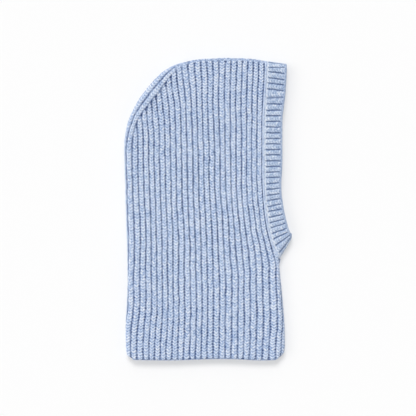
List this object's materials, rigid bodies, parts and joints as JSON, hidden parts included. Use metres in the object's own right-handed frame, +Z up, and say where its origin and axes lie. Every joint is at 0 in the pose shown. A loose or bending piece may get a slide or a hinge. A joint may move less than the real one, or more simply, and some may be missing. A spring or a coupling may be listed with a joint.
{
  "type": "knit balaclava",
  "caption": "Rib-knit open-face balaclava lying folded flat: hood and long neck tube in mirror-image side panels, with a double rib band linked round the face opening.",
  "frame": {"origin": "bottom centre of the bounding box of the folded balaclava, on the surface it lies on", "axes": "+Z up through the two layers; +Y from the neck hem to the crown; +X from the back of the head to the face opening"},
  "size_m": [0.214, 0.3854, 0.0145],
  "materials": {
    "rib_knit": "light blue melange rib knit, slightly fuzzy",
    "band_knit": "doubled rib knit of the same yarn",
    "linking_yarn": "linked chain of the same yarn",
    "label_tape": "blank satin tape"
  },
  "bodies": {
    "root": {"right_side_panel": "rib_knit", "left_side_panel": "rib_knit", "face_band": "band_knit", "face_band_seam": "linking_yarn", "centre_back_seam": "linking_yarn", "crown_seam": "linking_yarn", "front_neck_seam": "linking_yarn", "band_end_seam": "linking_yarn", "care_label": "label_tape", "label_stitching": "label_tape"}
  },
  "joints": []
}
